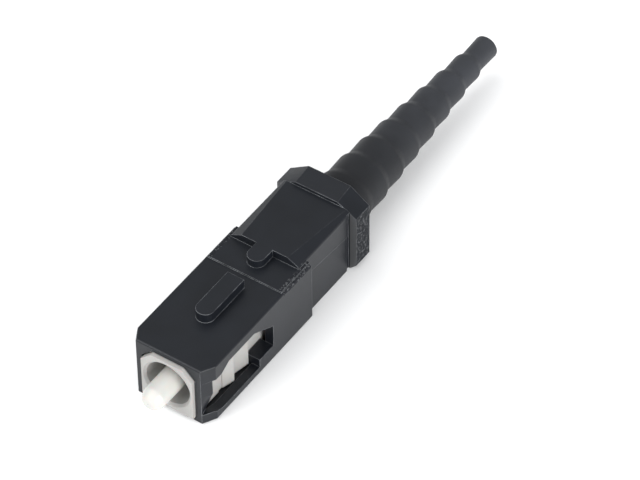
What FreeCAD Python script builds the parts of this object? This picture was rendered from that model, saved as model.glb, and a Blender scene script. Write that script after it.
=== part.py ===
"""Single-fibre push-pull connector plug, SC format, with a spliced ferrule.

Frame: the origin is the centre of the outer housing's front face, on the ferrule's axis.
+Y runs rearwards along that axis, +Z points out of the key's side. Millimetres.
"""
import FreeCAD, Part
import Sketcher
import os
import re

OUT = "parts"

# Driving dimensions. "front", "rear" and "reach" are places along the axis, from the housing's face.
SIZES = {
    # outer housing
    "housing_width": 9.0,
    "housing_height": 7.4,
    "nose_width": 7.4,
    "nose_length": 1.4,
    "waist_front": 12.45,
    "waist_rise": 0.15,
    "block_rear": 17.2,
    "grip_width": 7.9,
    "grip_front": 15.8,
    "grip_front_top": 4.75,
    "grip_rear_top": 4.3,
    "grip_flat": 5.34,
    "grip_shoulder": 4.05,
    "grip_round": 0.35,
    "panel_depth": 0.08,
    "panel_front_top": 1.85,
    "panel_rear_top": 1.1,
    "grip_groove_length": 0.5,
    "grip_groove_depth": 0.25,
    "collar_front": 24.6,
    "collar_rear": 26.9,
    "collar_width": 9.3,
    "collar_top": 5.0,
    "collar_front_top": 4.68,
    "collar_flat": 4.9,
    "collar_shoulder": 3.5,
    "collar_bevel": 0.75,
    "key_width": 1.9,
    "key_front": 5.2,
    "key_rear": 11.1,
    "key_rise": 1.1,
    "tab_front": 13.6,
    "edge_radius": 0.22,
    # openings of the outer housing
    "post_depth": 0.93,
    "ledge_front": 8.4,
    "ledge_rear": 10.7,
    "slide_gap": 0.12,
    "roof_gap": 0.15,
    "chamber_rear": 20.8,
    "window_front": 1.1,
    "window_front_top": 1.87,
    "window_front_bottom": 2.45,
    "window_step_front": 2.3,
    "window_step_rear": 3.5,
    "window_top": 2.55,
    "window_bottom": 2.85,
    "window_rear_top": 0.85,
    "window_rear_bottom": 1.85,
    "window_slope_front": 7.6,
    "post_scoop_top": 0.2,
    "post_scoop_middle": 0.1,
    "post_scoop_bottom": 1.1,
    # plug frame
    "frame_reach": 0.35,
    "frame_width": 5.9,
    "frame_height": 6.1,
    "frame_corner": 1.2,
    "frame_bore": 2.5,
    "frame_lead": 0.25,
    "frame_rear": 13.9,
    "waist_groove_front": 3.75,
    "catch_front": 4.4,
    "catch_rear": 5.75,
    "catch_width": 6.76,
    "neck_width": 5.7,
    "barb_front": 6.6,
    "barb_rear": 8.3,
    "barb_width": 6.44,
    "tail_front": 12.3,
    "tail_width": 6.8,
    "web_front": 3.3,
    "web_thickness": 1.0,
    "web_hole": 1.9,
    # ferrule and fibre
    "ferrule_radius": 1.25,
    "ferrule_length": 10.5,
    "ferrule_reach": 3.35,
    "tip_radius": 0.8,
    "tip_length": 0.9,
    "tip_round": 0.7,
    "bond_groove_length": 0.6,
    "bond_groove_depth": 0.2,
    "fibre_radius": 0.0625,
    "fibre_gap": 0.001,
    "stub_rear": 13.0,
    # holder, splice and cam
    "flange_radius": 2.3,
    "flange_length": 1.2,
    "flange_gap": 0.15,
    "notch_width": 0.7,
    "notch_depth": 0.45,
    "notch_count": 4,
    "barrel_radius": 1.6,
    "barrel_rear": 19.4,
    "chamber_radius": 1.1,
    "stop_web": 0.3,
    "plate_gap": 0.05,
    "plate_rear": 18.2,
    "plate_split": 0.03,
    "keel_width": 0.7,
    "keel_front": 14.6,
    "keel_rear": 17.9,
    "snap_rise": 0.1,
    "snap_length": 0.3,
    "cam_front": 14.3,
    "cam_length": 4.0,
    "cam_radius": 2.3,
    "cam_gap": 0.05,
    "cam_relief": 0.25,
    "lug_front": 15.6,
    "lug_length": 1.0,
    "lug_width": 0.8,
    "lug_reach": 2.75,
    # spring
    "spring_wire": 0.16,
    "spring_radius": 2.0,
    "spring_turns": 4,
    # retainer, crimp parts and lead-in tube
    "seat_front": 10.6,
    "seat_bore": 1.75,
    "seat_gap": 0.05,
    "snap_lug_front": 11.3,
    "snap_lug_length": 0.7,
    "snap_lug_height": 1.2,
    "sleeve_radius": 2.85,
    "sleeve_gap": 0.1,
    "sleeve_rear": 21.4,
    "float_travel": 1.2,
    "crimp_plug": 0.6,
    "crimp_flange": 0.7,
    "neck_radius": 2.0,
    "neck_rear": 27.0,
    "neck_bore": 1.25,
    "groove_depth": 0.15,
    "groove_count": 3,
    "yarn_gap": 0.15,
    "crimp_wall": 0.3,
    "tube_radius": 1.0,
    "tube_bore": 0.5,
    "tube_front": 18.5,
    "tube_rear": 25.8,
    # boot
    "boot_front_gap": 0.2,
    "boot_radius": 3.1,
    "boot_tip_radius": 1.23,
    "boot_ring_pitch": 3.18,
    "boot_ring_count": 9,
    "boot_shoulder": 0.78,
    "boot_seat_gap": 0.05,
    "boot_bore_gap": 0.15,
    "cable_radius": 1.0,
    "cable_gap": 0.05,
}

# Places worked out from the driving dimensions, as sheet expressions.
FLANGE_FRONT = "(web_front + web_thickness)"
FLANGE_REAR = f"({FLANGE_FRONT} + flange_length)"
FERRULE_REAR = "(ferrule_length - ferrule_reach)"
PLATE_FRONT = f"({FERRULE_REAR} + stop_web)"
CAM_REAR = "(cam_front + cam_length)"
CAM_BORE = "(barrel_radius + cam_gap)"
FRAME_CAVITY = "(flange_radius + flange_gap)"
SEAT_RADIUS = f"({FRAME_CAVITY} - seat_gap)"
SLEEVE_BORE = "(cam_radius + sleeve_gap)"
CRIMP_FRONT = "(sleeve_rear - crimp_plug)"
CRIMP_REAR = "(sleeve_rear + crimp_flange)"
CRIMP_SLEEVE_BORE = "(neck_radius + yarn_gap)"
CRIMP_SLEEVE_RADIUS = f"({CRIMP_SLEEVE_BORE} + crimp_wall)"
BOOT_FRONT = f"({CRIMP_REAR} + boot_front_gap)"
BOOT_SOCKET_REAR = "(neck_rear + boot_front_gap)"
CHAMBER_HALF_HEIGHT = "(frame_height/2 + roof_gap)"
CHAMBER_HALF_WIDTH = "(tail_width/2 + slide_gap)"

doc = FreeCAD.newDocument("sc_connector")
sheet = doc.addObject("Spreadsheet::Sheet", "Sizes")


def fill_sheet():
    for row, (alias, value) in enumerate(SIZES.items(), start=1):
        sheet.set(f"A{row}", alias)
        sheet.set(f"B{row}", str(value))
        sheet.setAlias(f"B{row}", alias)
    doc.recompute()


def cell(expression):
    """A sheet expression written with bare names, as FreeCAD wants it."""
    return re.sub(r"[a-z]+_[a-z_]+", lambda name: "Sizes." + name.group(0), str(expression))


def value(expression):
    result = sheet.evalExpression(cell(expression))
    return float(getattr(result, "Value", result))


def new_body(label):
    body = doc.addObject("PartDesign::Body", label)
    body.Label = label
    return body


def new_sketch(body, name, role, offset=None):
    """A sketch on one of the body's own origin planes, moved along its normal by offset."""
    sketch = body.newObject("Sketcher::SketchObject", name)
    plane = next(f for f in body.Origin.OriginFeatures if f.Role == role)
    sketch.AttachmentSupport = [(plane, "")]
    sketch.MapMode = "FlatFace"
    if offset is not None:
        sketch.setExpression(".AttachmentOffset.Base.z", cell(offset))
    return sketch


def outline(body, name, role, loops, offset=None):
    """Closed straight-sided loops, every corner held by two sheet expressions."""
    sketch = new_sketch(body, name, role, offset)
    for corners in loops:
        points = [FreeCAD.Vector(value(u), value(v), 0) for u, v in corners]
        first = sketch.GeometryCount
        count = len(points)
        for i, point in enumerate(points):
            sketch.addGeometry(Part.LineSegment(point, points[(i + 1) % count]), False)
        for i in range(count):
            following = first + (i + 1) % count
            sketch.addConstraint(Sketcher.Constraint("Coincident", first + i, 2, following, 1))
        for i, corner in enumerate(corners):
            for kind, expression, place in zip(("DistanceX", "DistanceY"), corner, points[i]):
                index = sketch.addConstraint(
                    Sketcher.Constraint(kind, -1, 1, first + i, 1, place))
                sketch.setExpression(f"Constraints[{index}]", cell(expression))
    return sketch


def circle(body, name, role, radius, offset=None):
    sketch = new_sketch(body, name, role, offset)
    centre = FreeCAD.Vector(0, 0, 0)
    normal = FreeCAD.Vector(0, 0, 1)
    sketch.addGeometry(Part.Circle(centre, normal, value(radius)), False)
    sketch.addConstraint(Sketcher.Constraint("Coincident", 0, 3, -1, 1))
    index = sketch.addConstraint(Sketcher.Constraint("Radius", 0, value(radius)))
    sketch.setExpression(f"Constraints[{index}]", cell(radius))
    return sketch


def feature(body, kind, name, sketch, length=None, both_ways=False, reverse=False):
    """A pad or pocket of the sketch; pads of XZ sketches are reversed so that they run to +Y."""
    item = body.newObject("PartDesign::" + kind, name)
    item.Profile = sketch
    if both_ways:
        item.SideType = "Symmetric"
    item.Reversed = reverse
    item.setExpression("Length", cell(length))
    sketch.Visibility = False
    doc.recompute()
    return item


def pad(body, name, sketch, length, both_ways=False, reverse=False):
    return feature(body, "Pad", name, sketch, length, both_ways, reverse)


def pocket(body, name, sketch, length, both_ways=False, reverse=False):
    before = body.Shape.Volume
    item = feature(body, "Pocket", name, sketch, length, both_ways, reverse)
    if body.Shape.Volume >= before:
        raise RuntimeError(name + " cuts nothing")
    return item


def revolved(body, name, profile, cut=False):
    """A turned form about the Y axis; profile corners are (radius, place along the axis)."""
    sketch = outline(body, name + "_profile", "XY_Plane", [profile])
    item = body.newObject("PartDesign::" + ("Groove" if cut else "Revolution"), name)
    item.Profile = sketch
    item.ReferenceAxis = (sketch, ["V_Axis"])
    item.Angle = 360.0
    sketch.Visibility = False
    doc.recompute()
    return item


def tube(body, name, inner, outer, front, rear):
    return revolved(body, name, [(inner, front), (outer, front), (outer, rear), (inner, rear)])


def joined(body, name, sections, kind="AdditiveLoft"):
    """A straight-sided block, or a cut of that form, from section to section."""
    item = body.newObject("PartDesign::" + kind, name)
    item.Profile = sections[0]
    item.Sections = sections[1:]
    item.Ruled = True
    for sketch in sections:
        sketch.Visibility = False
    doc.recompute()
    return item


def mirrored(half):
    """The corners of a half outline at positive x, followed by their mirror images."""
    return half + [(f"-({u})", v) for u, v in reversed(half)]


def box_loop(left, right, low, high):
    return [(left, low), (right, low), (right, high), (left, high)]


def round_edges(body, name, radius, chosen):
    """Rounds the edges of the body's present shape that chosen(edge) accepts."""
    base = body.Tip
    names = [f"Edge{i}" for i, e in enumerate(base.Shape.Edges, start=1) if chosen(e)]
    if not names:
        raise RuntimeError(name + " finds no edge")
    item = body.newObject("PartDesign::Fillet", name)
    item.Base = (base, names)
    item.setExpression("Radius", cell(radius))
    doc.recompute()
    return item


def runs_along(edge, axis):
    """True for a straight edge that lies along the named axis, give or take a few degrees."""
    if not isinstance(edge.Curve, Part.Line):
        return False
    way = (edge.Vertexes[1].Point - edge.Vertexes[0].Point).normalize()
    return abs(way[axis]) > 0.99


def near(number, expression, within=0.02):
    return abs(number - value(expression)) < within


def make_outer_housing():
    """The black sleeve: nose block, waist, grip and collar outside; chamber and windows inside."""
    body = new_body("outer_housing")
    half_width = "housing_width/2"
    nose = mirrored([("nose_width/2", "0"), (half_width, "nose_length"), (half_width, "block_rear")])
    pad(body, "nose_block", outline(body, "nose_plan", "XY_Plane", [nose]),
        "housing_height", both_ways=True)
    round_edges(body, "nose_edges", "edge_radius",
                lambda e: abs(e.CenterOfMass.z) > value("housing_height/2") - 0.01)

    top = "housing_height/2"
    waist = outline(body, "waist_plan", "XY_Plane",
                    [box_loop(f"edge_radius - {half_width}", f"{half_width} - edge_radius",
                              "waist_front", "block_rear")], offset=f"{top} - edge_radius")
    pad(body, "waist", waist, "waist_rise + edge_radius")

    grip = mirrored([("grip_width/2", f"-{top}"), ("grip_width/2", "grip_shoulder"),
                     ("grip_flat/2", "grip_front_top")])
    pad(body, "grip", outline(body, "grip_section", "XZ_Plane", [grip], "-grip_front"),
        "collar_front - grip_front", reverse=True)
    round_edges(body, "grip_edges", "grip_round",
                lambda e: runs_along(e, 1) and near(abs(e.CenterOfMass.x), "grip_width/2")
                and near(e.CenterOfMass.z, "grip_shoulder"))
    slope = [("grip_front", "grip_front_top"), ("collar_front", "grip_rear_top"),
             ("collar_front", "grip_front_top")]
    pocket(body, "grip_slope", outline(body, "slope_side", "YZ_Plane", [slope]),
           "grip_width", both_ways=True)
    groove_front = "(collar_front - grip_groove_length)"
    panel = [("block_rear", f"-{top}"), (groove_front, f"-{top}"),
             (groove_front, "panel_rear_top"), ("block_rear", "panel_front_top")]
    groove = box_loop(groove_front, "collar_front", f"-{top}", "grip_shoulder")
    for side, offset in (("left", "-grip_width/2"), ("right", "grip_width/2")):
        for name, loop, depth in (("panel", panel, "panel_depth"),
                                  ("groove", groove, "grip_groove_depth")):
            pocket(body, f"{side}_{name}",
                   outline(body, f"{side}_{name}_side", "YZ_Plane", [loop], offset),
                   depth, reverse=side == "left")

    collar_ends = []
    for end, height in (("front", "collar_front_top"), ("rear", "collar_top")):
        section = mirrored([("collar_width/2 - collar_bevel", f"-{top}"),
                            ("collar_width/2", f"collar_bevel - {top}"),
                            ("collar_width/2", "collar_shoulder"), ("collar_flat/2", height)])
        collar_ends.append(outline(body, f"collar_{end}_section", "XZ_Plane", [section],
                                   f"-collar_{end}"))
    joined(body, "collar", collar_ends)

    for name, front, rear, base, rise in (
            ("key", "key_front", "key_rear", top, "key_rise"),
            ("tab", "tab_front", "grip_front", f"{top} + waist_rise",
             f"grip_front_top - {top} - waist_rise")):
        plan = outline(body, name + "_plan", "XY_Plane",
                       [box_loop("-key_width/2", "key_width/2", front, rear)], offset=base)
        pad(body, name, plan, rise)
        round_edges(body, name + "_nose", "key_width/2 - 0.02",
                    lambda e: runs_along(e, 2) and near(abs(e.CenterOfMass.x), "key_width/2")
                    and near(e.CenterOfMass.y, front))

    mouth_half = "(frame_width/2 + slide_gap)"
    post, ledge = "post_depth", "(neck_width/2 + slide_gap)"
    chamber = mirrored([(CHAMBER_HALF_WIDTH, post), (CHAMBER_HALF_WIDTH, "ledge_front"),
                        (ledge, "ledge_front"), (ledge, "ledge_rear"),
                        (CHAMBER_HALF_WIDTH, "ledge_rear"), (CHAMBER_HALF_WIDTH, "chamber_rear")])
    pocket(body, "chamber", outline(body, "chamber_plan", "XY_Plane", [chamber]),
           f"2*{CHAMBER_HALF_HEIGHT}", both_ways=True)
    mouth = mirrored([(mouth_half, f"-{CHAMBER_HALF_HEIGHT}"),
                      (mouth_half, f"{CHAMBER_HALF_HEIGHT} - frame_corner"),
                      (f"{mouth_half} - frame_corner", CHAMBER_HALF_HEIGHT)])
    pocket(body, "mouth", outline(body, "mouth_section", "XZ_Plane", [mouth]), post)
    pocket(body, "rear_bore",
           circle(body, "rear_circle", "XZ_Plane", "boot_radius + boot_bore_gap", "-chamber_rear"),
           "collar_rear - chamber_rear")

    window = [("window_front", "window_front_top"), ("window_step_front", "window_front_top"),
              ("window_step_rear", "window_top"), ("window_slope_front", "window_top"),
              ("ledge_rear", "window_rear_top"), ("ledge_rear", "-window_rear_bottom"),
              ("ledge_front", "-window_rear_bottom"), ("ledge_front", "-window_bottom"),
              ("window_step_front", "-window_bottom"), ("window_front", "-window_front_bottom")]
    pocket(body, "windows", outline(body, "window_side", "YZ_Plane", [window]),
           "2*housing_width", both_ways=True)
    levels = (("window_front_top", "post_scoop_top"), ("post_scoop_middle", "post_scoop_top"),
              ("-window_front_bottom", "post_scoop_bottom"))
    for side, sign in (("left", "-"), ("right", "")):
        sections = []
        for i, (height, depth) in enumerate(levels):
            scoop = [(f"{sign}nose_width/2", "0"), (f"{sign}housing_width", "0"),
                     (f"{sign}housing_width", "window_front"),
                     (f"{sign}({half_width} - {depth})", "window_front")]
            sections.append(outline(body, f"{side}_scoop_{i}", "XY_Plane", [scoop], height))
        joined(body, side + "_scoop", sections, kind="SubtractiveLoft")
    return body


def make_plug_frame():
    """The inner frame: round bore for the mating sleeve in front, side catches, tail flange."""
    body = new_body("plug_frame")
    front = "-frame_reach"
    plan = mirrored([
        ("frame_width/2", front), ("frame_width/2", "waist_groove_front"),
        ("neck_width/2", "waist_groove_front"), ("neck_width/2", "catch_front"),
        ("frame_width/2", "catch_front"), ("catch_width/2", "catch_rear"),
        ("neck_width/2", "catch_rear"), ("neck_width/2", "barb_front"),
        ("barb_width/2", "barb_rear"), ("neck_width/2", "barb_rear"),
        ("neck_width/2", "tail_front"), ("tail_width/2", "tail_front"),
        ("tail_width/2", "frame_rear")])
    pad(body, "frame_block", outline(body, "frame_plan", "XY_Plane", [plan]),
        "frame_height", both_ways=True)
    inner, outer = "frame_width/2 - frame_corner", "tail_width"
    corner = [(inner, "frame_height/2"), (outer, "frame_height/2"),
              (outer, "frame_height/2 - frame_corner"),
              ("frame_width/2", "frame_height/2 - frame_corner")]
    other = [(f"-({u})", v) for u, v in corner]
    pocket(body, "corners",
           outline(body, "corner_section", "XZ_Plane", [corner, other], "frame_reach"),
           "frame_reach + frame_rear")
    revolved(body, "bore", [
        ("0", front), ("frame_bore + frame_lead", front),
        ("frame_bore", "frame_lead - frame_reach"), ("frame_bore", "web_front"),
        ("web_hole", "web_front"), ("web_hole", FLANGE_FRONT), (FRAME_CAVITY, FLANGE_FRONT),
        (FRAME_CAVITY, "frame_rear"), ("0", "frame_rear")], cut=True)
    lug_rear = "(snap_lug_front + snap_lug_length)"
    slot = box_loop("snap_lug_front - seat_gap", f"{lug_rear} + seat_gap",
                    "-snap_lug_height/2 - seat_gap", "snap_lug_height/2 + seat_gap")
    pocket(body, "lug_windows", outline(body, "lug_window_side", "YZ_Plane", [slot]),
           "2*tail_width", both_ways=True)
    return body


def make_ferrule():
    """Ceramic pin: domed tip, fibre hole with a funnel behind, bond groove where the holder grips."""
    body = new_body("ferrule")
    hole, tip = "(fibre_radius + fibre_gap)", "-ferrule_reach"
    funnel = "(ferrule_radius/2)"
    groove = "(ferrule_radius - bond_groove_depth)"
    groove_rear = f"({FLANGE_FRONT} + bond_groove_length)"
    revolved(body, "pin", [
        (hole, tip), ("tip_radius", tip), ("ferrule_radius", "tip_length - ferrule_reach"),
        ("ferrule_radius", FLANGE_FRONT), (groove, FLANGE_FRONT), (groove, groove_rear),
        ("ferrule_radius", groove_rear), ("ferrule_radius", FERRULE_REAR), (funnel, FERRULE_REAR),
        (hole, f"{FERRULE_REAR} - {funnel}")])
    round_edges(body, "tip_dome", "tip_round",
                lambda e: e.CenterOfMass.y < value("tip_length - ferrule_reach") + 0.01
                and e.Length > value("tip_radius*5"))
    return body


def make_fibre_stub():
    stub = doc.addObject("Part::Cylinder", "fibre_stub")
    stub.Label = "fibre_stub"
    stub.setExpression("Radius", cell("fibre_radius"))
    stub.setExpression("Height", cell("stub_rear + ferrule_reach"))
    stub.Placement.Rotation = FreeCAD.Rotation(FreeCAD.Vector(1, 0, 0), -90)
    stub.setExpression("Placement.Base.y", cell("-ferrule_reach"))
    return stub


def make_ferrule_holder():
    """Notched flange and long barrel; the ferrule is pressed in, the splice lies behind it."""
    body = new_body("ferrule_holder")
    snap_top = "(barrel_radius + snap_rise)"
    snap_rear = f"({CAM_REAR} + cam_gap + snap_length)"
    revolved(body, "turned", [
        ("ferrule_radius", FLANGE_FRONT), ("flange_radius", FLANGE_FRONT),
        ("flange_radius", FLANGE_REAR), ("barrel_radius", FLANGE_REAR),
        ("barrel_radius", f"{CAM_REAR} + cam_gap"), (snap_top, f"{CAM_REAR} + 2*cam_gap"),
        (snap_top, f"{snap_rear} - snap_rise"), ("barrel_radius", snap_rear),
        ("barrel_radius", "barrel_rear"), ("chamber_radius", "barrel_rear"),
        ("chamber_radius", PLATE_FRONT), ("4*fibre_radius", PLATE_FRONT),
        ("4*fibre_radius", FERRULE_REAR), ("ferrule_radius", FERRULE_REAR)])
    notch = box_loop("-notch_width/2", "notch_width/2", "flange_radius - notch_depth",
                     "2*flange_radius")
    first = pocket(body, "notch",
                   outline(body, "notch_section", "XZ_Plane", [notch], f"-{FLANGE_FRONT}"),
                   "flange_length")
    around = body.newObject("PartDesign::PolarPattern", "notches")
    around.Originals = [first]
    around.Axis = (first.Profile[0], ["N_Axis"])
    around.Angle = 360.0
    around.setExpression("Occurrences", cell("notch_count"))
    body.Tip = around
    doc.recompute()
    slot = box_loop("-keel_width/2 - plate_gap", "keel_width/2 + plate_gap",
                    "keel_front - plate_gap", "keel_rear + plate_gap")
    pocket(body, "keel_slot", outline(body, "keel_slot_plan", "XY_Plane", [slot]),
           "2*barrel_radius", reverse=True)
    return body


def make_splice_plate(label, low, high):
    """One half of the splice: a round bar cut back to the heights low..high."""
    body = new_body(label)
    radius = "(chamber_radius - plate_gap)"
    pad(body, "bar", circle(body, "bar_section", "XZ_Plane", radius, f"-{PLATE_FRONT}"),
        f"plate_rear - {PLATE_FRONT}", reverse=True)
    away = box_loop("-2*chamber_radius", "2*chamber_radius", low, high)
    pocket(body, "halved", outline(body, "halving", "XZ_Plane", [away], f"-{PLATE_FRONT}"),
           f"plate_rear - {PLATE_FRONT}")
    return body


def make_splice_base():
    body = make_splice_plate("splice_base", "plate_split", "2*chamber_radius")
    depth = "(fibre_radius*1.5)"
    groove = [(f"-{depth} - plate_split", "plate_split"), ("0", f"-{depth}"),
              (f"{depth} + plate_split", "plate_split")]
    pocket(body, "fibre_groove",
           outline(body, "groove_section", "XZ_Plane", [groove], f"-{PLATE_FRONT}"),
           f"plate_rear - {PLATE_FRONT}")
    return body


def make_splice_clamp():
    """The upper plate, with the keel that the cam presses through the barrel's slot."""
    body = make_splice_plate("splice_clamp", "-2*chamber_radius", "fibre_radius")
    keel = box_loop("-keel_width/2", "keel_width/2", "keel_front", "keel_rear")
    pad(body, "keel", outline(body, "keel_plan", "XY_Plane", [keel], "chamber_radius/2"),
        "barrel_radius - chamber_radius/2")
    return body


def make_cam_ring():
    """Ring on the barrel: its bore eases the keel when turned, its lug runs in the retainer."""
    body = new_body("cam_ring")
    tube(body, "ring", CAM_BORE, "cam_radius", "cam_front", CAM_REAR)
    relief = box_loop(f"{CAM_BORE} - cam_relief", f"{CAM_BORE} + cam_relief",
                      "-keel_width/2 - cam_relief", "keel_width/2 + cam_relief")
    pocket(body, "relief", outline(body, "relief_section", "XZ_Plane", [relief], "-cam_front"),
           "cam_length")
    lug = box_loop("-lug_reach", f"-({CAM_BORE} + cam_radius)/2", "lug_front",
                   "lug_front + lug_length")
    pad(body, "lug", outline(body, "lug_plan", "XY_Plane", [lug]), "lug_width", both_ways=True)
    return body


def make_ferrule_spring():
    """Compression spring of six-sided wire between the flange and the retainer's seat."""
    body = new_body("ferrule_spring")
    clear = "(2*spring_wire)"
    middle = f"{FLANGE_REAR} + {clear}"
    rise = "spring_wire*sqrt(3)/2"
    wire = [("spring_radius + spring_wire", middle),
            ("spring_radius + spring_wire/2", f"{middle} + {rise}"),
            ("spring_radius - spring_wire/2", f"{middle} + {rise}"),
            ("spring_radius - spring_wire", middle),
            ("spring_radius - spring_wire/2", f"{middle} - {rise}"),
            ("spring_radius + spring_wire/2", f"{middle} - {rise}")]
    sketch = outline(body, "wire_section", "XY_Plane", [wire])
    doc.recompute()
    coil = body.newObject("PartDesign::AdditiveHelix", "coil")
    coil.Profile = sketch
    coil.ReferenceAxis = (sketch, ["V_Axis"])
    coil.Mode = "height-turns-angle"
    coil.setExpression("Height", cell(f"seat_front - {FLANGE_REAR} - 2*{clear}"))
    coil.setExpression("Turns", cell("spring_turns"))
    sketch.Visibility = False
    doc.recompute()
    return body


def make_rear_retainer():
    """Ring that snaps in the frame and seats the spring, with a sleeve round the cam."""
    body = new_body("rear_retainer")
    revolved(body, "turned", [
        ("seat_bore", "seat_front"), (SEAT_RADIUS, "seat_front"), (SEAT_RADIUS, "frame_rear"),
        ("sleeve_radius", "frame_rear"), ("sleeve_radius", "sleeve_rear"),
        (SLEEVE_BORE, "sleeve_rear"), (SLEEVE_BORE, "cam_front - cam_gap"),
        ("seat_bore", "cam_front - cam_gap")])
    lug_rear = "(snap_lug_front + snap_lug_length)"
    root = f"(seat_bore + {SEAT_RADIUS})/2"
    wedge = [(root, "snap_lug_front"), (SEAT_RADIUS, "snap_lug_front"),
             ("neck_width/2", lug_rear), (root, lug_rear)]
    other = [(f"-({u})", v) for u, v in wedge]
    pad(body, "snap_lugs", outline(body, "snap_lug_plan", "XY_Plane", [wedge, other]),
        "snap_lug_height", both_ways=True)
    half = "lug_width/2 + cam_gap"
    reach = "2*sleeve_radius"
    quarter = [(f"-{reach}", f"-({half})"), ("0", f"-({half})"), (half, "0"), (half, reach),
               (f"-{reach}", reach)]
    slot = outline(body, "cam_slot_section", "XZ_Plane", [quarter], "-lug_front + cam_gap")
    pocket(body, "cam_slot", slot, "lug_length + float_travel + 2*cam_gap")
    return body


def make_crimp_body():
    """Metal neck: a plug in the retainer's sleeve, a flange, and a grooved crimping neck."""
    body = new_body("crimp_body")
    plug = f"({SLEEVE_BORE} - seat_gap)"
    profile = [("neck_bore", CRIMP_FRONT), (plug, CRIMP_FRONT), (plug, "sleeve_rear"),
               ("sleeve_radius", "sleeve_rear"), ("sleeve_radius", CRIMP_REAR),
               ("neck_radius", CRIMP_REAR)]
    pitch = f"((neck_rear - {CRIMP_REAR})/(groove_count + 1))"
    for i in range(1, int(value("groove_count")) + 1):
        centre = f"{CRIMP_REAR} + {i}*{pitch}"
        profile += [("neck_radius", f"{centre} - groove_depth"),
                    ("neck_radius - groove_depth", centre),
                    ("neck_radius", f"{centre} + groove_depth")]
    profile += [("neck_radius", "neck_rear"), ("neck_bore", "neck_rear")]
    revolved(body, "turned", profile)
    return body


def make_crimp_sleeve():
    body = new_body("crimp_sleeve")
    tube(body, "sleeve", CRIMP_SLEEVE_BORE, CRIMP_SLEEVE_RADIUS,
         f"{CRIMP_REAR} + boot_seat_gap", "neck_rear")
    return body


def make_lead_in_tube():
    body = new_body("lead_in_tube")
    tube(body, "pipe", "tube_bore", "tube_radius", "tube_front", "tube_rear")
    return body


def make_boot():
    """Rubber boot: rings that step down to the tip, a socket over the crimp and a cable bore."""
    body = new_body("boot")
    socket = f"({CRIMP_SLEEVE_RADIUS} + boot_seat_gap)"
    bore = "(cable_radius + cable_gap)"
    rings = int(value("boot_ring_count"))
    step = "((boot_radius - boot_tip_radius)/(boot_ring_count - 1))"
    end = "(collar_rear + boot_ring_count*boot_ring_pitch)"
    profile = [(socket, BOOT_FRONT), ("boot_radius", BOOT_FRONT)]
    for i in range(1, rings):
        border = f"collar_rear + {i}*boot_ring_pitch"
        profile += [(f"boot_radius - {i - 1}*{step}", border),
                    (f"boot_radius - {i}*{step}", f"{border} + boot_shoulder")]
    profile += [("boot_tip_radius", end), (bore, end), (bore, BOOT_SOCKET_REAR),
                (socket, BOOT_SOCKET_REAR)]
    revolved(body, "rubber", profile)
    return body


def check_and_write(pieces):
    doc.recompute()
    for item in doc.Objects:
        if "Invalid" in item.State or "Error" in item.State:
            raise RuntimeError(f"{item.Label} failed: {item.State}")
    for piece in pieces:
        if piece.Shape.isNull() or not piece.Shape.isValid():
            raise RuntimeError(piece.Label + " has no valid shape")
        if len(piece.Shape.Solids) != 1:
            raise RuntimeError(piece.Label + " is not one solid")
    os.makedirs(OUT, exist_ok=True)
    for piece in pieces:
        piece.Shape.exportStep(f"{OUT}/{piece.Label}.step")


fill_sheet()
check_and_write([
    make_outer_housing(),
    make_plug_frame(),
    make_ferrule(),
    make_fibre_stub(),
    make_ferrule_holder(),
    make_splice_base(),
    make_splice_clamp(),
    make_cam_ring(),
    make_ferrule_spring(),
    make_rear_retainer(),
    make_crimp_body(),
    make_crimp_sleeve(),
    make_lead_in_tube(),
    make_boot(),
])
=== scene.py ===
"""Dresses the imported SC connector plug: housing, frame, ferrule, boot, spring and stage."""
import math

import bmesh
import bpy
from bpy.props import FloatProperty, FloatVectorProperty, IntProperty, PointerProperty
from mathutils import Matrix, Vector


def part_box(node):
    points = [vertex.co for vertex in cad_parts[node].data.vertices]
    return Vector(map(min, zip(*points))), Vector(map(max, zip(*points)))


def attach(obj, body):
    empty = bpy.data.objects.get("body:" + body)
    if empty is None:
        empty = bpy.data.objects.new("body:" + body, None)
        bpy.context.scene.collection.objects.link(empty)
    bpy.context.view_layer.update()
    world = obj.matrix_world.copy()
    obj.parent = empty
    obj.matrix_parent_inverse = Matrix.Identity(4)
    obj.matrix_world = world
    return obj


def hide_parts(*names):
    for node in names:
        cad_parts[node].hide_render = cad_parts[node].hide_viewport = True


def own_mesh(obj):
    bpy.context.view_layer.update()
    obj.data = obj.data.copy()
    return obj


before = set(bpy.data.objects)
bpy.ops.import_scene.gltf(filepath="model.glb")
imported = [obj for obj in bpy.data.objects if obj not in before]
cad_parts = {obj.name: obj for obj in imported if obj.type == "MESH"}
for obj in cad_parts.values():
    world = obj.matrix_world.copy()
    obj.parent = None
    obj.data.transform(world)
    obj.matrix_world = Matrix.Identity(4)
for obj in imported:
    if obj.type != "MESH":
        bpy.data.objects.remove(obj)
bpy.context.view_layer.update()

bl_info = {
    "name": "SC connector plug",
    "version": (1, 0, 0),
    "blender": (4, 5, 0),
    "location": "3D View > Sidebar > SC plug",
    "description": "Finishes for a push-pull fibre connector plug",
    "category": "Object",
}

MM = 0.001
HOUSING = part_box("outer_housing")
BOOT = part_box("boot")
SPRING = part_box("ferrule_spring")

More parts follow.
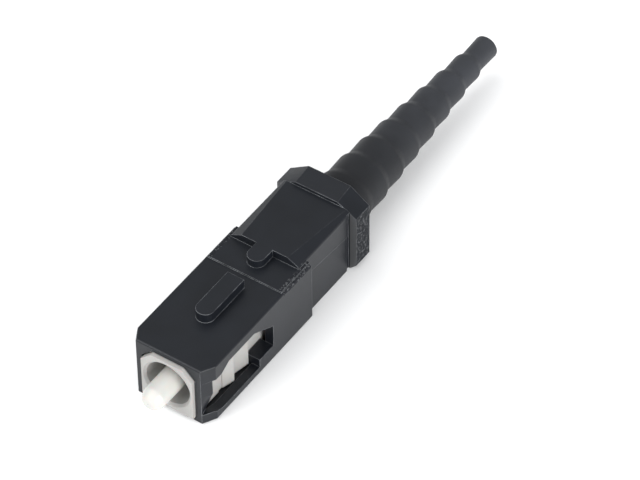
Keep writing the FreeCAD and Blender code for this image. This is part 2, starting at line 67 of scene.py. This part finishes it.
# Studio: the floor's half side, then each light's direction from the housing, distance, side
# length and the name of its power in StageLook.
FLOOR_HEIGHT = HOUSING[0].z
FLOOR_HALF_SIDE = 3.0
SKY_COLOUR = (0.97, 0.985, 1.0, 1.0)
LIGHTS = {
    "key_light": (Vector((-0.38, -0.42, 0.82)), 0.70, 0.90, "key"),
    "fill_light": (Vector((0.88, -0.35, 0.32)), 0.60, 0.40, "fill"),
    "edge_light": (Vector((-0.39, -0.72, 0.57)), 0.55, 0.12, "edge"),
}
CAMERA_PLACE = (0.14302, -0.18181, 0.25909)
CAMERA_TURN_DEGREES = (43.884, 0.376, 34.258)
CAMERA_LENS_MM = 208.1
CAMERA_SENSOR_MM = 36.0
CAMERA_NEAREST = 0.01

# Moulded grain: cells of slow tone change in a metre, the part of their range that counts, and
# how far the fine grain moves the roughness.
DRIFT_CELLS = 260.0
DRIFT_RANGE = (0.3, 0.7)
GRAIN_ROUGHNESS = 0.14

# Edge lines of painted highlight: the cosine between plain and rounded normal where a line
# starts and where it is full, then the noise places that break the painted highlight up and
# how much of the line they keep.
EDGE_BEND = (0.995, 0.80)
HIGHLIGHT_BREAK_CELLS = 900.0
HIGHLIGHT_BREAK_RANGE = (0.35, 0.65)
HIGHLIGHT_KEPT_SHARE = 0.25

# Rough patches of the housing. The collar's side begins at a distance from the middle plane; the
# shoulder beside the grip is outside its side, above its height and between its front and rear.
COLLAR_SIDE = 4.6 * MM
SHOULDER_SIDE = 3.88 * MM
SHOULDER_HEIGHT = 3.3 * MM
SHOULDER_FRONT = 12.6 * MM
SHOULDER_REAR = 17.1 * MM
PATCH_GRAIN = 0.13 * MM
PATCH_DEPTH = 0.26 * MM
PITS_A_GRAIN = 0.6
# Heights of the patches' relief over which the painted glints fade in.
GLINT_RANGE = (0.55, 0.61)
# Faces turned further to the front than this get the painted light on the collar's front.
FACING_FRONT = -0.9

# Meshes taken over from the solids.
MERGE_DISTANCE = 0.002 * MM
FLAT_ANGLE = math.radians(0.5)
SHARP_ANGLE = math.radians(24)

# Inside of the boot and the fineness of its steps.
BOOT_LIP = 0.15 * MM
BOOT_BORE_RADIUS = 1.05 * MM
BOOT_BORE_LENGTH = 28.32 * MM
BOOT_SOCKET_RADIUS = 2.5 * MM
STEP_PARTS = 8
TIP_DEGREES = (0, 30, 60, 90)

# Fineness of the spring's coil.
POINTS_A_TURN = 40
WIRE_SIDES = 12


# ---------------------------------------------------------------- sizes and colours

def length(name, description, default_mm):
    """A length property, its default given in millimetres."""
    return FloatProperty(name=name, description=description, default=default_mm * MM,
                         min=0.0, subtype="DISTANCE", unit="LENGTH", precision=5)


def colour(name, description, default):
    """A colour property."""
    return FloatVectorProperty(name=name, description=description, default=default, size=3,
                               min=0.0, max=1.0, subtype="COLOR")


def number(name, description, default, low=0.0, high=1.0):
    """A plain number between two limits."""
    return FloatProperty(name=name, description=description, default=default, min=low, max=high)


def power(name, description, default):
    """The power of a light in watts."""
    return FloatProperty(name=name, description=description, default=default, min=0.0, max=100.0,
                         unit="POWER")


class HousingLook(bpy.types.PropertyGroup):
    colour: colour("Colour", "Base colour of the black moulding", (0.0060, 0.0072, 0.0098))
    # The edge colour is a painted highlight along the edges; the edge width is that line's width.
    edge_colour: colour("Edge colour", "Colour of the polished edges", (0.240, 0.250, 0.265))
    edge_width: length("Edge width", "Width of the polished line along each edge", 0.09)
    roughness: number("Roughness", "Roughness of the satin faces", 0.3)
    grain: length("Grain", "Size of the moulding's fine grain", 0.07)
    shine: number("Shine", "Strength of the surface's reflection", 0.30)
    rough_relief: number("Rough relief", "Strength of the rough patches' relief", 1.0, 0.0, 2.0)
    dulling: number("Dulling", "Extra roughness of the rough patches", 0.5)
    # The speckle colour paints glints on the high points of the rough patches' relief.
    painted_glint: colour("Speckle", "Colour of the pale grains in the rough patches",
                    (0.072, 0.075, 0.080))
    # The flange colour is painted light: a paler colour on the collar's front face in place of
    # the light it catches.
    painted_flange_light: colour("Flange", "Colour of the scuffed front of the collar", (0.075, 0.077, 0.080))


class FrameLook(bpy.types.PropertyGroup):
    colour: colour("Colour", "Base colour of the plug frame", (0.335, 0.329, 0.317))
    edge_width: length("Edge width", "Width of the soft line along each edge", 0.06)
    ceramic: colour("Ceramic", "Base colour of the ferrule", (0.50, 0.494, 0.468))


class BootLook(bpy.types.PropertyGroup):
    colour: colour("Colour", "Base colour of the rubber", (0.0030, 0.0032, 0.0038))
    tip_colour: colour("Tip colour", "Paler colour towards the tip", (0.030, 0.032, 0.037))
    roughness: number("Roughness", "Roughness of the rubber", 0.46)
    rings: IntProperty(name="Rings", description="Steps between collar and tip", default=9,
                       min=3, max=20)
    pitch: length("Ring pitch", "Distance from one step to the next", 3.18)
    front_radius: length("Front radius", "Radius of the sleeve inside the collar", 3.1)
    ring_radius: length("Ring radius", "Radius of the first ring behind the collar", 2.96)
    tip_radius: length("Tip radius", "Radius of the last ring", 1.32)
    swell: length("Swell", "Growth of each ring towards its rear end", 0.07)
    shoulder: length("Shoulder", "Length over which a ring steps down", 1.1)
    lead: length("Lead", "Distance by which the steps sit ahead of the full pitch", 0.8)
    tip_round: length("Tip rounding", "Rounding of the boot's rear end", 0.3)


class SpringLook(bpy.types.PropertyGroup):
    wire_radius: length("Wire radius", "Radius of the spring wire", 0.16)
    turns: number("Turns", "Turns of the coil", 5.5, 1.0, 20.0)
    colour: colour("Colour", "Base colour of the spring steel", (0.55, 0.55, 0.57))


class StageLook(bpy.types.PropertyGroup):
    floor: colour("Floor", "Colour of the floor", (0.93, 0.93, 0.93))
    world: number("World light", "Strength of the even light from all round", 0.6, 0.0, 5.0)
    key: power("Key light", "Power of the large light overhead", 5.0)
    fill: power("Fill light", "Power of the low light on the right", 4.0)
    edge: power("Edge light", "Power of the small light that catches edges", 0.5)


# ---------------------------------------------------------------- node building

def add_node(tree, kind, inputs=None, **settings):
    """A node with its settings; each input is a value or the socket that feeds it."""
    node = tree.nodes.new(kind)
    for name, value in settings.items():
        setattr(node, name, value)
    for name, value in (inputs or {}).items():
        if isinstance(value, bpy.types.NodeSocket):
            tree.links.new(value, node.inputs[name])
        else:
            node.inputs[name].default_value = value
    return node


def maths(tree, operation, *values):
    """The result of a Math node; each value is a number or a socket."""
    return add_node(tree, "ShaderNodeMath", dict(enumerate(values)),
                    operation=operation).outputs[0]


def ramp(tree, value, start, end, low=0.0, high=1.0):
    """A value that goes from low to high while the given one goes from start to end."""
    return add_node(tree, "ShaderNodeMapRange", {
        "Value": value, "From Min": start, "From Max": end, "To Min": low, "To Max": high},
        clamp=True).outputs["Result"]


def noise(tree, place, scale, **inputs):
    """Noise between 0 and 1; scale is in cells a metre."""
    return add_node(tree, "ShaderNodeTexNoise",
                    {"Vector": place, "Scale": scale, **inputs}).outputs["Fac"]


def mixed(tree, share, under, over):
    """The colour under where share is 0, and the colour over where it is 1."""
    return add_node(tree, "ShaderNodeMix", {0: share, 6: under, 7: over},
                    data_type="RGBA").outputs[2]


def object_place(tree):
    """The place on the piece, in metres."""
    return add_node(tree, "ShaderNodeTexCoord").outputs["Object"]


def new_group(name, inputs, outputs):
    """An empty shader group with named sockets: the group, its inputs and its output node."""
    group = bpy.data.node_groups.new(name, "ShaderNodeTree")
    for label, kind, default in inputs:
        socket = group.interface.new_socket(name=label, in_out="INPUT", socket_type=kind)
        socket.default_value = default
    for label, kind in outputs:
        group.interface.new_socket(name=label, in_out="OUTPUT", socket_type=kind)
    entry = group.nodes.new("NodeGroupInput")
    leave = group.nodes.new("NodeGroupOutput")
    return group, entry.outputs, leave


def put_out(group, leave, **sockets):
    """Links each socket to the group's output of that name."""
    for label, socket in sockets.items():
        group.links.new(socket, leave.inputs[label])


# ---------------------------------------------------------------- shader groups

def grain_group():
    """Fine moulded grain and slow tone changes, both in object space."""
    group, given, leave = new_group(
        "moulded_grain",
        [("Grain size", "NodeSocketFloat", 0.0001), ("Colour", "NodeSocketColor", (0, 0, 0, 1)),
         ("Drift", "NodeSocketFloat", 0.3), ("Roughness", "NodeSocketFloat", 0.4)],
        [("Colour", "NodeSocketColor"), ("Height", "NodeSocketFloat"),
         ("Roughness", "NodeSocketFloat")])
    place = object_place(group)
    fine = noise(group, place, maths(group, "DIVIDE", 1.0, given["Grain size"]),
                 Detail=3.0, Roughness=0.65)
    slow = noise(group, place, DRIFT_CELLS, Detail=2.0, Distortion=0.4)
    gain = ramp(group, slow, *DRIFT_RANGE, 1.0, maths(group, "ADD", 1.0, given["Drift"]))
    tint = add_node(group, "ShaderNodeVectorMath", {0: given["Colour"], "Scale": gain},
                    operation="SCALE")
    rough = maths(group, "MULTIPLY_ADD", fine, GRAIN_ROUGHNESS, given["Roughness"])
    put_out(group, leave, Colour=tint.outputs[0], Height=fine, Roughness=rough)
    return group


def edge_group():
    """Mask of a thin painted highlight along every crisp edge, broken up by noise, and the
    rounded normal there.
    """
    group, given, leave = new_group(
        "edge_line", [("Width", "NodeSocketFloat", 0.0001)],
        [("Mask", "NodeSocketFloat"), ("Normal", "NodeSocketVector")])
    rounded = add_node(group, "ShaderNodeBevel", {"Radius": given["Width"]}, samples=6).outputs[0]
    plain = add_node(group, "ShaderNodeNewGeometry").outputs["Normal"]
    bend = add_node(group, "ShaderNodeVectorMath", {0: rounded, 1: plain},
                    operation="DOT_PRODUCT").outputs["Value"]
    # Noise that breaks the painted edge highlight up into glints.
    highlight_breakup = noise(group, object_place(group), HIGHLIGHT_BREAK_CELLS, Detail=2.0)
    mask = maths(group, "MULTIPLY", ramp(group, bend, *EDGE_BEND),
                 ramp(group, highlight_breakup, *HIGHLIGHT_BREAK_RANGE, HIGHLIGHT_KEPT_SHARE, 1.0))
    put_out(group, leave, Mask=mask, Normal=rounded)
    return group


def patch_group():
    """Masks of the rough patches and of the collar's front, where light is painted, and the
    patches' relief.
    """
    group, given, leave = new_group(
        "rough_patches", [("Grain size", "NodeSocketFloat", 0.0001)],
        [("Mask", "NodeSocketFloat"), ("Height", "NodeSocketFloat"),
         ("Flange", "NodeSocketFloat")])
    place = object_place(group)
    x, y, z = add_node(group, "ShaderNodeSeparateXYZ", {"Vector": place}).outputs
    aside = maths(group, "ABSOLUTE", x)
    normal = add_node(group, "ShaderNodeNewGeometry").outputs["Normal"]
    facing = add_node(group, "ShaderNodeSeparateXYZ", {"Vector": normal}).outputs["Y"]

    def above(value, border):
        return maths(group, "GREATER_THAN", value, border)

    def below(value, border):
        return maths(group, "LESS_THAN", value, border)

    def all_of(first, *others):
        for other in others:
            first = maths(group, "MULTIPLY", first, other)
        return first

    outside = above(aside, SHOULDER_SIDE)
    shoulder = all_of(outside, above(z, SHOULDER_HEIGHT), above(y, SHOULDER_FRONT),
                      below(y, SHOULDER_REAR))
    # The collar's front face behind the shoulder, where a paler colour is painted in as light.
    painted_flange_light = all_of(outside, above(y, SHOULDER_REAR), below(facing, FACING_FRONT))
    fineness = maths(group, "DIVIDE", PITS_A_GRAIN, given["Grain size"])
    put_out(group, leave, Mask=maths(group, "MAXIMUM", above(aside, COLLAR_SIDE), shoulder),
            Height=noise(group, place, fineness, Detail=2.0, Roughness=0.55), Flange=painted_flange_light)
    return group


# ---------------------------------------------------------------- materials

def finish_material(name, colour, roughness, grain=0.0001, drift=0.25, bump=0.03, **shader):
    """A Principled material over the shared grain; shader holds constants for its own sockets."""
    material = bpy.data.materials.new(name)
    material.use_nodes = True
    tree = material.node_tree
    tree.nodes.clear()
    group = bpy.data.node_groups.get("moulded_grain") or grain_group()
    grained = add_node(tree, "ShaderNodeGroup", {
        "Grain size": grain, "Colour": (*colour, 1.0), "Drift": drift, "Roughness": roughness},
        node_tree=group)
    relief = add_node(tree, "ShaderNodeBump", {"Height": grained.outputs["Height"],
                                               "Strength": bump, "Distance": grain})
    principled = add_node(tree, "ShaderNodeBsdfPrincipled", {
        "Base Color": grained.outputs["Colour"] if drift else (*colour, 1.0),
        "Roughness": grained.outputs["Roughness"], "Normal": relief.outputs["Normal"]})
    for label, value in shader.items():
        principled.inputs[label.replace("_", " ")].default_value = value
    surface = add_node(tree, "ShaderNodeOutputMaterial")
    tree.links.new(principled.outputs[0], surface.inputs["Surface"])
    return material


def node_of(tree, kind):
    """The tree's first node of that kind."""
    return next(node for node in tree.nodes if node.type == kind)


def feed_of(node, label):
    """The socket that feeds the node's input of that name."""
    return node.inputs[label].links[0].from_socket


def edge_line(material, width, tint):
    """Paints a highlight line of the given width and colour along the material's edges."""
    tree = material.node_tree
    principled = node_of(tree, "BSDF_PRINCIPLED")
    relief = node_of(tree, "BUMP")
    group = bpy.data.node_groups.get("edge_line") or edge_group()
    line = add_node(tree, "ShaderNodeGroup", {"Width": width}, node_tree=group).outputs
    tree.links.new(line["Normal"], relief.inputs["Normal"])
    # The painted highlight colour goes over the base colour where the edge mask is.
    tree.links.new(mixed(tree, line["Mask"], feed_of(principled, "Base Color"), (*tint, 1.0)),
                   principled.inputs["Base Color"])


def roughen(material, look):
    """Lays the rough patches' relief, painted glints on its high points and painted light on the
    collar's front over the housing's fine grain.
    """
    tree = material.node_tree
    principled = node_of(tree, "BSDF_PRINCIPLED")
    patches = add_node(tree, "ShaderNodeGroup", {"Grain size": PATCH_GRAIN},
                       node_tree=patch_group()).outputs
    relief = add_node(tree, "ShaderNodeBump", {
        "Strength": maths(tree, "MULTIPLY", patches["Mask"], look.rough_relief),
        "Distance": PATCH_DEPTH, "Height": patches["Height"],
        "Normal": feed_of(principled, "Normal")})
    dull = maths(tree, "MULTIPLY_ADD", patches["Mask"], look.dulling,
                 feed_of(principled, "Roughness"))
    # Painted glints: a paler colour on the relief's high points within the patches.
    pale = maths(tree, "MULTIPLY", ramp(tree, patches["Height"], *GLINT_RANGE), patches["Mask"])
    with_painted_glints = mixed(tree, pale, feed_of(principled, "Base Color"), (*look.painted_glint, 1.0))
    # Painted light: the collar's front face is made paler.
    with_flange_light = mixed(tree, patches["Flange"], with_painted_glints, (*look.painted_flange_light, 1.0))
    tree.links.new(relief.outputs["Normal"], principled.inputs["Normal"])
    tree.links.new(dull, principled.inputs["Roughness"])
    tree.links.new(with_flange_light, principled.inputs["Base Color"])


def dress(thing, material):
    """Gives an object one material in place of all it had."""
    thing.data.materials.clear()
    thing.data.materials.append(material)


# ---------------------------------------------------------------- meshes

def linked(name, data):
    """A new object in the scene that holds the data."""
    thing = bpy.data.objects.new(name, data)
    bpy.context.scene.collection.objects.link(thing)
    return thing


def seat(name, mesh, body, slot, *nodes):
    """Puts a finished mesh in the scene on its body, in place of the named nodes."""
    piece = linked(name, mesh)
    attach(piece, body)
    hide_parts(*nodes)
    return piece


def taken_from(carrier):
    """The plain mesh that a carrier's modifiers make; the carrier is removed."""
    graph = bpy.context.evaluated_depsgraph_get()
    graph.update()
    mesh = bpy.data.meshes.new_from_object(carrier.evaluated_get(graph), depsgraph=graph)
    bpy.data.objects.remove(carrier)
    return mesh


def refined(node, name):
    """A merged copy of a CAD node: its flats stay flat, its fillets shade smoothly."""
    draft = bpy.data.meshes.new(name + "_draft")
    shape = bmesh.new()
    shape.from_mesh(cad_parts[node].data)
    bmesh.ops.remove_doubles(shape, verts=shape.verts, dist=MERGE_DISTANCE)
    bmesh.ops.dissolve_limit(shape, angle_limit=FLAT_ANGLE, verts=shape.verts, edges=shape.edges)
    for face in shape.faces:
        face.smooth = True
    for edge in shape.edges:
        edge.smooth = edge.is_manifold and edge.calc_face_angle() < SHARP_ANGLE
    shape.to_mesh(draft)
    shape.free()
    carrier = linked(name + "_draft", draft)
    leaning = carrier.modifiers.new("flats", "WEIGHTED_NORMAL")
    leaning.weight = 100
    leaning.keep_sharp = True
    mesh = taken_from(carrier)
    mesh.name = name
    return mesh


def turned_about_y(name, profile, around=96):
    """A closed (radius, y) profile turned about the Y axis."""
    shape = bmesh.new()
    rows = []
    for i in range(around):
        angle = 2 * math.pi * i / around
        rows.append([shape.verts.new((r * math.cos(angle), y, r * math.sin(angle)))
                     for r, y in profile])
    for i, here in enumerate(rows):
        there = rows[(i + 1) % around]
        for j in range(len(profile)):
            after = (j + 1) % len(profile)
            shape.faces.new((here[j], there[j], there[after], here[after]))
    bmesh.ops.recalc_face_normals(shape, faces=shape.faces)
    for face in shape.faces:
        face.smooth = True
    mesh = bpy.data.meshes.new(name)
    shape.to_mesh(mesh)
    shape.free()
    return mesh


def boot_profile(look):
    """The boot's closed outline as (radius, y): stepped outside, rounded tip, bore and socket."""
    front, end = BOOT[0].y, BOOT[1].y
    start = end - look.rings * look.pitch - look.lead
    drop = (look.ring_radius - look.tip_radius) / (look.rings - 2)
    high = look.front_radius
    profile = [(high - BOOT_LIP, front), (high, front + BOOT_LIP)]
    for i in range(1, look.rings):
        border = start + i * look.pitch
        low = look.ring_radius - (i - 1) * drop - look.swell
        for part in range(STEP_PARTS + 1):
            share = part / STEP_PARTS
            ease = share * share * (3 - 2 * share)
            profile.append((high + (low - high) * ease, border + look.shoulder * share))
        high = low + look.swell
    soft = min(look.tip_round, 0.9 * (look.tip_radius - BOOT_BORE_RADIUS))
    profile += [(look.tip_radius - soft * (1 - math.cos(a)), end - soft * (1 - math.sin(a)))
                for a in (math.radians(degrees) for degrees in TIP_DEGREES)]
    floor = end - BOOT_BORE_LENGTH
    return profile + [(BOOT_BORE_RADIUS, end), (BOOT_BORE_RADIUS, floor),
                      (BOOT_SOCKET_RADIUS, floor), (BOOT_SOCKET_RADIUS, front)]


def coil_tree():
    """Geometry nodes for a round-wire coil along Y, closed with flat ends."""
    tree = bpy.data.node_groups.new("spring_coil", "GeometryNodeTree")
    for label, default in (("Radius", 0.002), ("Wire radius", 0.0002), ("Start", 0.005),
                           ("Height", 0.005), ("Turns", 5.0)):
        tree.interface.new_socket(name=label, in_out="INPUT",
                                  socket_type="NodeSocketFloat").default_value = default
    tree.interface.new_socket(name="Finish", in_out="INPUT", socket_type="NodeSocketMaterial")
    tree.interface.new_socket(name="Geometry", in_out="OUTPUT", socket_type="NodeSocketGeometry")
    given = tree.nodes.new("NodeGroupInput").outputs
    spiral = add_node(tree, "GeometryNodeCurveSpiral", {
        "Resolution": POINTS_A_TURN, "Rotations": given["Turns"], "Start Radius": given["Radius"],
        "End Radius": given["Radius"], "Height": given["Height"]})
    place = add_node(tree, "ShaderNodeCombineXYZ", {"Y": given["Start"]})
    turned = add_node(tree, "GeometryNodeTransform", {
        "Geometry": spiral.outputs["Curve"], "Translation": place.outputs[0],
        "Rotation": (-math.pi / 2, 0.0, 0.0)})
    wire = add_node(tree, "GeometryNodeCurvePrimitiveCircle", {
        "Resolution": WIRE_SIDES, "Radius": given["Wire radius"]}, mode="RADIUS")
    swept = add_node(tree, "GeometryNodeCurveToMesh", {
        "Curve": turned.outputs[0], "Profile Curve": wire.outputs["Curve"], "Fill Caps": True})
    real = add_node(tree, "GeometryNodeRealizeInstances", {"Geometry": swept.outputs[0]})
    finish = add_node(tree, "GeometryNodeSetMaterial", {"Geometry": real.outputs[0],
                                                        "Material": given["Finish"]})
    leave = tree.nodes.new("NodeGroupOutput")
    tree.links.new(finish.outputs[0], leave.inputs["Geometry"])
    return tree


def built(tree, name, **values):
    """Runs a geometry tree with its named inputs and returns the plain mesh."""
    carrier = linked(name, bpy.data.meshes.new(name))
    modifier = carrier.modifiers.new(name, "NODES")
    modifier.node_group = tree
    for item in tree.interface.items_tree:
        if item.in_out == "INPUT":
            modifier[item.identifier] = values[item.name.replace(" ", "_")]
    return taken_from(carrier)


# ---------------------------------------------------------------- operators

class PLUG_OT_stage(bpy.types.Operator):
    """Floor, lights and camera"""
    bl_idname = "plug.stage"
    bl_label = "Stage"

    def execute(self, context):
        look = context.scene.plug_stage
        half = FLOOR_HALF_SIDE
        floor = bpy.data.meshes.new("floor")
        floor.from_pydata([(x, y, FLOOR_HEIGHT) for x, y in
                           ((-half, -half), (half, -half), (half, half), (-half, half))],
                          [], [(0, 1, 2, 3)])
        ground = linked("floor", floor)
        dress(ground, finish_material("floor_paper", look.floor, roughness=0.75,
                                      grain=0.4 * MM, drift=0.0, bump=0.02))

        world = bpy.data.worlds.new("studio")
        world.use_nodes = True
        sky = world.node_tree.nodes["Background"]
        sky.inputs["Color"].default_value = SKY_COLOUR
        sky.inputs["Strength"].default_value = look.world
        context.scene.world = world

        centre = (HOUSING[0] + HOUSING[1]) / 2
        for name, (way, distance, side, strength) in LIGHTS.items():
            light = bpy.data.lights.new(name, "AREA")
            light.shape = "SQUARE"
            light.size = side
            light.energy = getattr(look, strength)
            lamp = linked(name, light)
            lamp.location = centre + way.normalized() * distance
            lamp.rotation_euler = (-way).to_track_quat("-Z", "Y").to_euler()

        lens = bpy.data.cameras.new("camera")
        lens.sensor_width = CAMERA_SENSOR_MM
        lens.lens = CAMERA_LENS_MM
        lens.clip_start = CAMERA_NEAREST
        camera = linked("camera", lens)
        camera.location = CAMERA_PLACE
        camera.rotation_euler = [math.radians(angle) for angle in CAMERA_TURN_DEGREES]
        context.scene.camera = camera
        context.scene.view_settings.view_transform = "Standard"
        return {"FINISHED"}


class PLUG_OT_housing(bpy.types.Operator):
    """Black outer housing with painted edge highlights, rough patches with painted glints, and
    painted light on the collar's front
    """
    bl_idname = "plug.housing"
    bl_label = "Outer housing"

    def execute(self, context):
        look = context.scene.plug_housing
        mesh = refined("outer_housing", "housing_shell")
        shell = seat("housing_shell", mesh, "housing", "housing_black", "outer_housing")
        black = finish_material("black_moulding", look.colour, look.roughness, look.grain,
                                drift=0.35, bump=0.05, Specular_IOR_Level=look.shine)
        edge_line(black, look.edge_width, look.edge_colour)
        roughen(black, look)
        dress(shell, black)
        return {"FINISHED"}


class PLUG_OT_frame(bpy.types.Operator):
    """Off-white plug frame and ceramic ferrule"""
    bl_idname = "plug.frame"
    bl_label = "Plug frame and ferrule"

    def execute(self, context):
        look = context.scene.plug_frame
        mesh = refined("plug_frame", "frame_shell")
        shell = seat("frame_shell", mesh, "plug", "frame_white", "plug_frame")
        white = finish_material("white_moulding", look.colour, roughness=0.42,
                                grain=0.12 * MM, drift=0.04, bump=0.05,
                                Subsurface_Weight=0.1, Subsurface_Scale=0.5 * MM)
        # The frame's edges are rounded; their painted highlight is in the frame's own colour.
        edge_line(white, look.edge_width, look.colour)
        dress(shell, white)
        mesh = refined("ferrule", "ferrule_pin")
        pin = seat("ferrule_pin", mesh, "ferrule", "ferrule_ceramic", "ferrule")
        dress(pin, finish_material("zirconia", look.ceramic, roughness=0.16,
                                   grain=0.05 * MM, drift=0.02, bump=0.01,
                                   Subsurface_Weight=0.25, Subsurface_Scale=0.8 * MM))
        return {"FINISHED"}


class PLUG_OT_boot(bpy.types.Operator):
    """Stepped rubber boot"""
    bl_idname = "plug.boot"
    bl_label = "Boot"

    def execute(self, context):
        look = context.scene.plug_boot
        mesh = turned_about_y("boot_rubber", boot_profile(look))
        rubber = seat("boot_rubber", mesh, "plug", "boot_rubber", "boot")
        black = finish_material("black_rubber", look.colour, look.roughness, grain=0.12 * MM,
                                drift=0.4, bump=0.04, Specular_IOR_Level=0.24)
        tree = black.node_tree
        along = add_node(tree, "ShaderNodeSeparateXYZ", {"Vector": object_place(tree)})
        share = ramp(tree, along.outputs["Y"], BOOT[0].y, BOOT[1].y)
        paler = mixed(tree, share, (*look.colour, 1.0), (*look.tip_colour, 1.0))
        tree.links.new(paler, node_of(tree, "GROUP").inputs["Colour"])
        dress(rubber, black)
        return {"FINISHED"}


class PLUG_OT_spring(bpy.types.Operator):
    """Coiled ferrule spring of round wire"""
    bl_idname = "plug.spring"
    bl_label = "Ferrule spring"

    def execute(self, context):
        look = context.scene.plug_spring
        steel = finish_material("spring_steel", look.colour, roughness=0.25,
                                grain=0.05 * MM, drift=0.1, bump=0.02, Metallic=1.0)
        low, high = SPRING
        wire = look.wire_radius
        mesh = built(coil_tree(), "spring_coil", Radius=high.x - wire, Wire_radius=wire,
                     Start=low.y + wire, Height=high.y - low.y - 2 * wire, Turns=look.turns,
                     Finish=steel)
        coil = seat("spring_coil", mesh, "plug", "spring_steel", "ferrule_spring")
        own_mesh(coil)
        return {"FINISHED"}


# Each hidden node's material: name, colour, roughness and constants for the shader.
INNER_FINISHES = {
    "fibre_stub": ("fibre_glass", (0.75, 0.8, 0.82), 0.05, {"Transmission_Weight": 0.9}),
    "ferrule_holder": ("holder_plastic", (0.55, 0.36, 0.13), 0.4, {}),
    "splice_base": ("splice_plate", (0.72, 0.70, 0.62), 0.2, {}),
    "splice_clamp": ("splice_plate", (0.72, 0.70, 0.62), 0.2, {}),
    "cam_ring": ("cam_plastic", (0.03, 0.035, 0.05), 0.4, {}),
    "rear_retainer": ("retainer_plastic", (0.62, 0.61, 0.58), 0.42, {}),
    "crimp_body": ("nickel_plate", (0.66, 0.63, 0.57), 0.28, {"Metallic": 1.0}),
    "crimp_sleeve": ("plain_aluminium", (0.70, 0.70, 0.72), 0.38, {"Metallic": 1.0}),
    "lead_in_tube": ("tube_plastic", (0.75, 0.75, 0.75), 0.35, {}),
}


class PLUG_OT_inner(bpy.types.Operator):
    """Finishes of the pieces inside the housing"""
    bl_idname = "plug.inner"
    bl_label = "Inner pieces"

    def execute(self, context):
        for node, (name, tint, roughness, shader) in INNER_FINISHES.items():
            material = bpy.data.materials.get(name) or finish_material(
                name, tint, roughness, grain=0.08 * MM, drift=0.12, bump=0.04, **shader)
            dress(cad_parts[node], material)
        return {"FINISHED"}


class PLUG_PT_panel(bpy.types.Panel):
    """The plug's operators and sizes"""
    bl_idname = "PLUG_PT_panel"
    bl_label = "SC plug"
    bl_space_type = "VIEW_3D"
    bl_region_type = "UI"
    bl_category = "SC plug"

    def draw(self, context):
        for operator in OPERATORS:
            self.layout.operator(operator.bl_idname)
        for name in LOOKS:
            box = self.layout.box()
            look = getattr(context.scene, name)
            for prop in look.bl_rna.properties:
                if prop.identifier not in ("rna_type", "name"):
                    box.prop(look, prop.identifier)


LOOKS = {"plug_housing": HousingLook, "plug_frame": FrameLook, "plug_boot": BootLook,
         "plug_spring": SpringLook, "plug_stage": StageLook}
OPERATORS = (PLUG_OT_stage, PLUG_OT_housing, PLUG_OT_frame, PLUG_OT_boot, PLUG_OT_spring,
             PLUG_OT_inner)


def register():
    for kind in (*LOOKS.values(), *OPERATORS, PLUG_PT_panel):
        bpy.utils.register_class(kind)
    for name, kind in LOOKS.items():
        setattr(bpy.types.Scene, name, PointerProperty(type=kind))


def unregister():
    for name in LOOKS:
        delattr(bpy.types.Scene, name)
    for kind in reversed((*LOOKS.values(), *OPERATORS, PLUG_PT_panel)):
        bpy.utils.unregister_class(kind)


def main():
    register()
    bpy.ops.plug.stage()
    bpy.ops.plug.housing()
    bpy.ops.plug.frame()
    bpy.ops.plug.boot()
    bpy.ops.plug.spring()
    bpy.ops.plug.inner()


if __name__ == "__main__":
    main()
